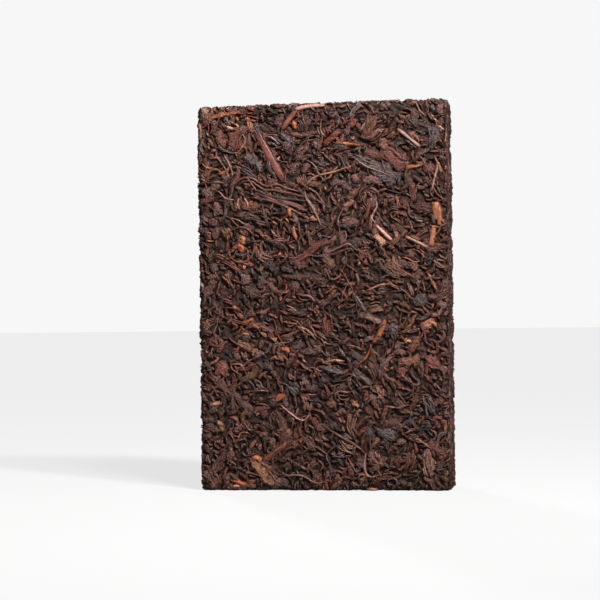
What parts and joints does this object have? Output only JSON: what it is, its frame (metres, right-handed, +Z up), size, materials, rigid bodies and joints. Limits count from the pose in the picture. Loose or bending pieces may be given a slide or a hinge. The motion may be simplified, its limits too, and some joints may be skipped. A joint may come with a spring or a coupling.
{
  "type": "pressed pu erh tea brick",
  "caption": "Upright rectangular brick of pressed dark pu erh tea leaves with rounded, slightly crumbled edges; it rests on one short end and is broken apart for brewing.",
  "frame": {"origin": "middle of the base, on the surface that the brick stands on", "axes": "+Z up along the brick's long side, +X along its width to the right as seen from the front, front face towards -Y"},
  "size_m": [0.0916, 0.023, 0.1404],
  "materials": {
    "pressed_tea": "matt dark brown pressed leaf with a faint satin sheen on the folds"
  },
  "bodies": {
    "root": {"tea_brick": "pressed_tea"}
  },
  "joints": []
}
